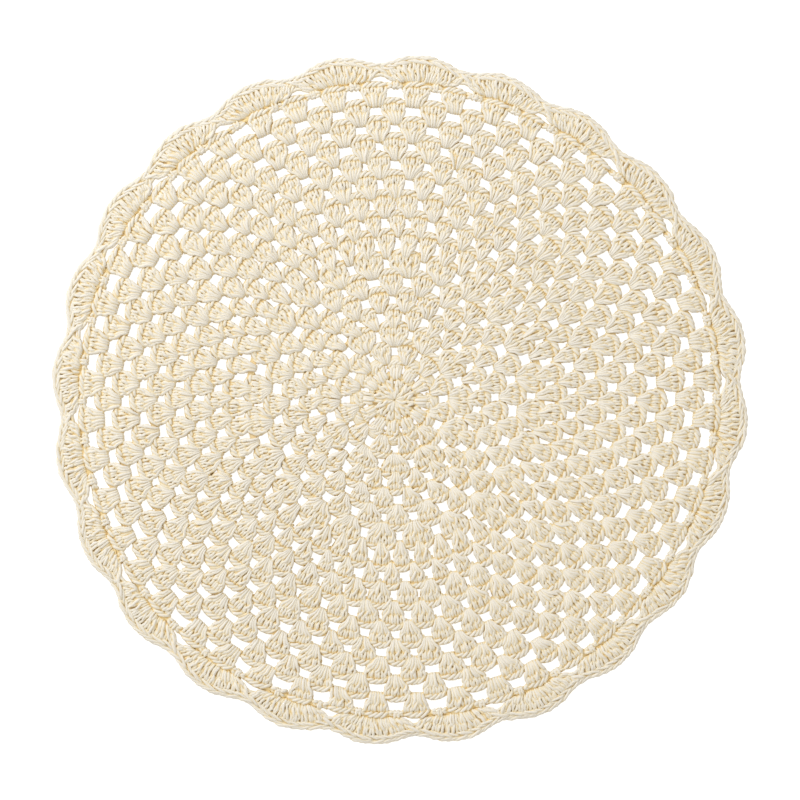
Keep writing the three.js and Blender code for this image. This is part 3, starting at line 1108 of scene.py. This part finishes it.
def add_edge_chain(strands):
    """Two rows of links that lean against each other along the scalloped edge, over two plain cords."""
    links = SHELLS * EDGE_LINKS_PER_SHELL

    def edge_line(inset, lift):
        def line(p):
            angle = rad(SHELL_PEAK_DEG) + p * FULL_TURN / links
            return edge_radius(angle) - inset, angle, np.full(p.shape, lift)
        return line

    for inset, lift, spread, thick in EDGE_ROWS:
        places = np.arange(links) + noise(EDGE_LINK_STRAY, links)
        add_links(strands, places, edge_line(inset, lift), EDGE_LINK_REACH, EDGE_LINK, spread, thick)
    line = edge_line(EDGE_CHAIN_INSET, EDGE_CHAIN_HEIGHT)
    along = np.arange(SHELLS)[:, None] + np.linspace(-EDGE_CORD_HALF, EDGE_CORD_HALF, EDGE_CORD_POINTS)
    radius, angle, height = line(along * EDGE_LINKS_PER_SHELL)
    for outwards, lift in EDGE_CORDS:
        points = placed(radius + outwards, angle, height + lift)
        strands.add(points, LINK_RADIUS, EDGE_CORD_SPANS, LINK_SIDES)


# Materials. Each painted shade begins at the first depth of its pair and is full at the second; the painted
# highlight on the ridges fades out over its pair.

HIGHLIGHT_FADE = (0.0, 0.55)
VALLEY_SHADE = (0.25, 1.3)
PIT_SHADE = (1.0, 2.2)
HOLLOW_SHADE = (0.2, 1.4)
# Colours: a painted highlight for the ridges, the yarn's own cream and warm fibre spots, and golden, brown
# and tan painted shade for valleys, pits and hollows.
PAINTED_RIDGE_HIGHLIGHT = (0.885, 0.86, 0.832)
CREAM = (0.90, 0.834, 0.69)
WARM = (0.88, 0.75, 0.54)
GOLDEN_SHADE = (0.92, 0.715, 0.35)
BROWN_SHADE = (0.78, 0.58, 0.28)
TAN_SHADE = (0.90, 0.79, 0.575)
PLIES = 3.0
PLY_PITCH = 5.0
FIBRE = {"Scale": 2.2, "Detail": 3.0, "Roughness": 0.6}
FIBRE_ACROSS = 2.2
FIBRE_ALONG = 0.45
FIBRE_BY_STRAND = 17.0
WARM_FROM = 0.35
TONE_SHARE = 0.03
TONE_MEAN = 0.972
# Painted shade in the ply grooves darkens them by this share.
GROOVE_SHADE = 0.04
YARN_SURFACE = {
    "Roughness": 0.92,
    "Specular IOR Level": 0.25,
    "Sheen Weight": 0.25,
    "Sheen Roughness": 0.6,
    "Sheen Tint": (1.0, 0.95, 0.86, 1.0),
}
YARN_BUMP_STRENGTH = 0.15
YARN_BUMP = 0.25
# The core's colours are painted golden shade, mixed at random by fibre noise.
CORE_SHADE_GOLD = (0.82, 0.625, 0.32)
CORE_SHADE_SOFT = (0.89, 0.745, 0.49)
CORE_FIBRE = {"Scale": 900.0, "Detail": 3.0, "Roughness": 0.6}
CORE_SURFACE = {"Roughness": 0.95}
CORE_BUMP_STRENGTH = 0.5
CORE_BUMP = 0.3
# Sockets of a mix of colours
MIX_FACTOR, MIX_FIRST, MIX_SECOND, MIX_RESULT = 0, 6, 7, 2


def set_inputs(made, values):
    for name, value in values.items():
        made.inputs[name].default_value = value


def new_material(name, surface):
    """A material, its node tree and its shader, with the values of its surface set."""
    material = bpy.data.materials.new(name)
    material.use_nodes = True
    shader = material.node_tree.nodes["Principled BSDF"]
    set_inputs(shader, surface)
    return material, material.node_tree, shader


def maths(tree, operation, *values, clamp=False):
    made = tree.nodes.new("ShaderNodeMath")
    made.operation = operation
    made.use_clamp = clamp
    for socket, value in zip(made.inputs, values):
        if isinstance(value, (int, float)):
            socket.default_value = value
        else:
            tree.links.new(value, socket)
    return made.outputs[0]


def mixed(tree, factor, first, second, blend="MIX"):
    made = tree.nodes.new("ShaderNodeMix")
    made.data_type = "RGBA"
    made.blend_type = blend
    for socket, value in ((MIX_FACTOR, factor), (MIX_FIRST, first), (MIX_SECOND, second)):
        if isinstance(value, (int, float)):
            made.inputs[socket].default_value = value
        elif isinstance(value, tuple):
            made.inputs[socket].default_value = value + (1.0,)
        else:
            tree.links.new(value, made.inputs[socket])
    return made.outputs[MIX_RESULT]


def attribute(tree, name):
    made = tree.nodes.new("ShaderNodeAttribute")
    made.attribute_name = name
    return made.outputs["Fac"]


def smooth_step(tree, value, limits):
    """0 up to the first limit, 1 from the second, and a soft rise between."""
    made = tree.nodes.new("ShaderNodeMapRange")
    made.interpolation_type = "SMOOTHSTEP"
    set_inputs(made, {"From Min": limits[0], "From Max": limits[1]})
    tree.links.new(value, made.inputs["Value"])
    return made.outputs[0]


def fibres(tree, place, pattern):
    """A noise pattern at a place."""
    made = tree.nodes.new("ShaderNodeTexNoise")
    set_inputs(made, pattern)
    tree.links.new(place, made.inputs["Vector"])
    return made.outputs[0]


def add_bump(tree, shader, relief, strength, distance):
    made = tree.nodes.new("ShaderNodeBump")
    set_inputs(made, {"Strength": strength, "Distance": distance * MM})
    tree.links.new(relief, made.inputs["Height"])
    tree.links.new(made.outputs[0], shader.inputs["Normal"])


def yarn_material():
    """Twisted yarn, with a painted highlight on its ridges and painted golden shade in its depths."""
    material, tree, shader = new_material("cotton_yarn", YARN_SURFACE)
    uv = tree.nodes.new("ShaderNodeUVMap")
    uv.uv_map = "Yarn"
    split = tree.nodes.new("ShaderNodeSeparateXYZ")
    tree.links.new(uv.outputs[0], split.inputs[0])
    around, along = split.outputs[0], split.outputs[1]
    tone = attribute(tree, "tone")
    depth = attribute(tree, "depth")
    ply = maths(tree, "MULTIPLY_ADD", around, PLIES, maths(tree, "DIVIDE", along, PLY_PITCH))
    wave = maths(tree, "SINE", maths(tree, "MULTIPLY", ply, FULL_TURN))
    groove = maths(tree, "MULTIPLY_ADD", wave, 0.5, 0.5)
    spot = tree.nodes.new("ShaderNodeCombineXYZ")
    scales = ((ply, FIBRE_ACROSS), (along, FIBRE_ALONG), (tone, FIBRE_BY_STRAND))
    for socket, (value, scale) in zip(spot.inputs, scales):
        tree.links.new(maths(tree, "MULTIPLY", value, scale), socket)
    fibre = fibres(tree, spot.outputs[0], FIBRE)
    # Painted highlight on the ridges, fading into cream down the flanks, then painted shade by depth: tan in
    # hollows, golden in valleys, brown in pits. Warm fibre spots are the yarn's own.
    colour = mixed(tree, smooth_step(tree, depth, HIGHLIGHT_FADE), PAINTED_RIDGE_HIGHLIGHT, CREAM)
    colour = mixed(tree, smooth_step(tree, attribute(tree, "low"), HOLLOW_SHADE), colour, TAN_SHADE)
    colour = mixed(tree, smooth_step(tree, depth, VALLEY_SHADE), colour, GOLDEN_SHADE)
    colour = mixed(tree, smooth_step(tree, depth, PIT_SHADE), colour, BROWN_SHADE)
    colour = mixed(tree, maths(tree, "SUBTRACT", fibre, WARM_FROM, clamp=True), colour, WARM)
    # Random tone of each strand, times painted shade in the ply grooves.
    tone_and_groove_shade = maths(tree, "MULTIPLY_ADD", tone, TONE_SHARE, TONE_MEAN)
    tone_and_groove_shade = maths(tree, "MULTIPLY", tone_and_groove_shade, maths(tree, "MULTIPLY_ADD", groove, GROOVE_SHADE, 1.0 - GROOVE_SHADE))
    grey = tree.nodes.new("ShaderNodeCombineColor")
    for socket in grey.inputs[:3]:
        tree.links.new(tone_and_groove_shade, socket)
    colour = mixed(tree, 1.0, colour, grey.outputs[0], "MULTIPLY")
    tree.links.new(colour, shader.inputs["Base Color"])
    relief = maths(tree, "MULTIPLY_ADD", fibre, 0.5, maths(tree, "MULTIPLY", groove, 0.5))
    add_bump(tree, shader, relief, YARN_BUMP_STRENGTH, YARN_BUMP)
    return material


def core_material():
    material, tree, shader = new_material("cotton_core_painted_shade", CORE_SURFACE)
    place = tree.nodes.new("ShaderNodeTexCoord").outputs["Object"]
    fibre = fibres(tree, place, CORE_FIBRE)
    # Painted golden shade, mixed at random by fibre noise.
    tree.links.new(mixed(tree, fibre, CORE_SHADE_GOLD, CORE_SHADE_SOFT), shader.inputs["Base Color"])
    add_bump(tree, shader, fibre, CORE_BUMP_STRENGTH, CORE_BUMP)
    return material


# Core: a thin sheet inside the yarn, open at every gap, which stands for the yarn's inner layers; its colour
# is painted golden shade where it shows through pits. The inset makes each gap wider there.

CORE_TOP = 3.4
CORE_MIDDLE_TOP = 2.9
CORE_BORDER_TOP = 2.4
CORE_EDGE_TOP = 3.0
CORE_THICKNESS = 0.3
CORE_INSET = 1.8
CORE_EDGE_INSET = 2.6
EARLY_CORE_INSET = 2.4
EARLY_CORE_FROM = 20.0
EARLY_CORE_TO = 70.0
# More rows of gaps, with the columns of ROUNDS. With the inset, a pinhole is 1.4 mm across.
BORDER_GAPS = (24, 10, 178.1, 2.6, 12.0, 6.0, 3.1)
PINHOLES = (12, 2, 9.8, -2.2, -2.2, -2.2, 27.0)


def core_rows():
    """Angles midway between the gaps of each row, and the row, from the middle outwards."""
    rows = [(midway(cluster_angles(0)), PINHOLES)]
    rows += [(cluster_angles(i), row) for i, row in enumerate(ROUNDS)]
    shell_angles = rad(BORDER_GAPS[GAP_DEG]) + FULL_TURN * (np.arange(SHELLS) + 0.5) / SHELLS
    return rows + [(shell_angles, BORDER_GAPS)]


def add_ring(plan, radius, angles):
    """Adds points to the plan and gives their numbers."""
    first = len(plan)
    plan += zip(np.broadcast_to(radius, np.shape(angles)), angles)
    return np.arange(first, len(plan))


def band(plan, inner, outer):
    """Triangles between two rings of points."""
    def apart(a, b):
        return abs((plan[a][1] - plan[b][1] + np.pi) % FULL_TURN - np.pi)

    start = int(np.argmin([apart(o, inner[0]) for o in outer]))
    inners, outers = len(inner), len(outer)
    made = []
    i = o = 0
    while i < inners or o < outers:
        near, next_near = inner[i % inners], inner[(i + 1) % inners]
        far, next_far = outer[(start + o) % outers], outer[(start + o + 1) % outers]
        if i == inners or (o < outers and apart(next_far, near) <= apart(next_near, far)):
            made.append((near, far, next_far))
            o += 1
        else:
            made.append((near, far, next_near))
            i += 1
    return made


def row_rings(plan, angles, row):
    """The points of a row of gaps: two for each stretch between gaps, at the inner and the outer edge."""
    early = EARLY_CORE_FROM < row[GAP_RADIUS] < EARLY_CORE_TO
    inset = EARLY_CORE_INSET if early else CORE_INSET
    rings = []
    for side, gap in ((-1.0, row[GAP_INNER]), (1.0, row[GAP_OUTER])):
        radius = row[GAP_RADIUS] + side * (row[GAP_HEIGHT] / 2.0 + inset)
        half = FULL_TURN / row[CLUSTERS] / 2.0 - (gap / 2.0 + inset) / radius
        rings.append(add_ring(plan, radius, np.stack([angles - half, angles + half], axis=1).ravel()))
    return rings


def build_core(material):
    """Two sheets of faces with walls at every gap and round the edge."""
    plan, faces, walls = [], [], []
    middle = add_ring(plan, 0.0, [0.0])
    sunk = [(middle, CORE_MIDDLE_TOP)]
    last = None
    for angles, row in core_rows():
        inner, outer = row_rings(plan, angles, row)
        if row is PINHOLES:
            sunk += [(inner, CORE_MIDDLE_TOP), (outer, CORE_MIDDLE_TOP)]
            faces += [(middle[0], a, b) for a, b in zip(inner, np.roll(inner, -1))]
        else:
            faces += band(plan, last, inner)
        if row is BORDER_GAPS:
            sunk.append((inner, CORE_BORDER_TOP))
        for k in range(0, len(inner), 2):
            faces += [(inner[k], outer[k], outer[k + 1]), (inner[k], outer[k + 1], inner[k + 1])]
            n = (k + 2) % len(inner)
            gap = (inner[k + 1], outer[k + 1], outer[n], inner[n])
            walls += [(gap[j], gap[(j + 1) % 4]) for j in range(4)]
        last = outer
    edge = add_ring(plan, edge_radius(EDGE_ANGLES) - CORE_EDGE_INSET, EDGE_ANGLES)
    faces += band(plan, last, edge)
    sunk.append((edge, CORE_EDGE_TOP))
    walls += zip(np.roll(edge, -1), edge)
    count = len(plan)
    top_height = np.full(count, CORE_TOP)
    for ring, height in sunk:
        top_height[ring] = height
    radius, angle = columns(plan)
    top = placed(radius, angle, top_height)
    under = placed(radius, angle, top_height - CORE_THICKNESS)
    all_faces = faces + [(a + count, c + count, b + count) for a, b, c in faces]
    all_faces += [(a, b, b + count, a + count) for a, b in walls]
    mesh = bpy.data.meshes.new("core")
    corners = (np.concatenate([top, under]) * MM).tolist()
    mesh.from_pydata(corners, [], [[int(v) for v in face] for face in all_faces])
    mesh.validate()
    mesh.materials.append(material)
    return linked("core", mesh)


# Pieces

PIECES = (
    # name, first round and last round in the table's order
    ("yarn_middle", 0, 4),
    ("yarn_inner", 5, 7),
    ("yarn_half", 8, 9),
    ("yarn_mid", 10, 11),
    ("yarn_wide", 12, 13),
    ("yarn_outer", 14, 15),
)
bundles = []
for name, first_round, last_round in PIECES:
    gathered = Strands()
    if first_round == 0:
        add_middle(gathered)
    for index in range(first_round, last_round + 1):
        add_round(gathered, index)
    bundles.append((name, gathered))
border = Strands()
for add_part in (add_border_chain, add_shell_feet, add_shells, add_valleys, add_edge_chain):
    add_part(border)
bundles.append(("yarn_border", border))
cotton = yarn_material()
all_samples = np.concatenate([part for _, bundle in bundles for part in bundle.samples])
mat_heights = [face_heights(all_samples, side) for side in (1, -1)]
mat_faces = [closed(heights, VALLEY_CELLS) for heights in mat_heights]
mat_hollows = [closed(heights, HOLLOW_CELLS) for heights in mat_heights]
yarn_pieces = [yarn_object(name, bundle, cotton, mat_faces, mat_hollows) for name, bundle in bundles]
core = build_core(core_material())
for piece in yarn_pieces + [core]:
    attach(piece, "root")
    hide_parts("mat")


# Stage, in metres

CAMERA_HEIGHT = 2.2
FRAME_WIDTH = 0.44184
SENSOR_MM = 36.0
CLIP_END = 20.0
FLOOR_HALF = 2.5
FLOOR_SURFACE = {
    "Base Color": (0.5, 0.5, 0.5, 1.0),
    "Roughness": 0.9,
    "Emission Color": (1.0, 1.0, 1.0, 1.0),
}
FLOOR_GLOW = 0.85
FLOOR_LIGHT = 0.35
WORLD_LIGHT = 0.718
WORLD_COLOUR = (1.0, 0.952, 0.84, 1.0)
LAMP_POWER = 18.6
LAMP_COLOUR = (0.935, 0.972, 1.0)
LAMP_SIZE = 1.25
LAMP_PLACE = (-0.95, 0.95, 1.1)


def floor_material():
    """White to the camera, and dimmer as a light."""
    material, tree, shader = new_material("floor_white", FLOOR_SURFACE)
    rays = tree.nodes.new("ShaderNodeLightPath")
    glow = tree.nodes.new("ShaderNodeMapRange")
    set_inputs(glow, {"To Min": FLOOR_LIGHT, "To Max": FLOOR_GLOW})
    tree.links.new(rays.outputs["Is Camera Ray"], glow.inputs["Value"])
    tree.links.new(glow.outputs[0], shader.inputs["Emission Strength"])
    return material


def build_floor():
    mesh = bpy.data.meshes.new("floor")
    corners = ((-1, -1), (1, -1), (1, 1), (-1, 1))
    mesh.from_pydata([(x * FLOOR_HALF, y * FLOOR_HALF, 0.0) for x, y in corners], [], [(0, 1, 2, 3)])
    mesh.materials.append(floor_material())
    return linked("floor", mesh)


def set_view(scene):
    """A camera straight above the mat, and plain colours."""
    data = bpy.data.cameras.new("camera")
    data.sensor_width = SENSOR_MM
    data.lens = SENSOR_MM * CAMERA_HEIGHT / FRAME_WIDTH
    data.clip_end = CLIP_END
    scene.camera = linked("camera", data)
    scene.camera.location = (0.0, 0.0, CAMERA_HEIGHT)
    scene.view_settings.view_transform = "Standard"
    scene.view_settings.look = "None"
    scene.view_settings.exposure = 0.0


def set_light(scene):
    """A pale world, and one soft lamp at the upper left that points at the middle of the mat."""
    world = bpy.data.worlds.new("studio")
    scene.world = world
    world.use_nodes = True
    set_inputs(world.node_tree.nodes["Background"], {"Color": WORLD_COLOUR, "Strength": WORLD_LIGHT})
    data = bpy.data.lights.new("window", "AREA")
    data.energy = LAMP_POWER
    data.color = LAMP_COLOUR
    data.size = LAMP_SIZE
    lamp = linked("window", data)
    lamp.location = LAMP_PLACE
    lamp.rotation_euler = lamp.location.to_track_quat("Z", "Y").to_euler()


build_floor()
set_view(bpy.context.scene)
set_light(bpy.context.scene)
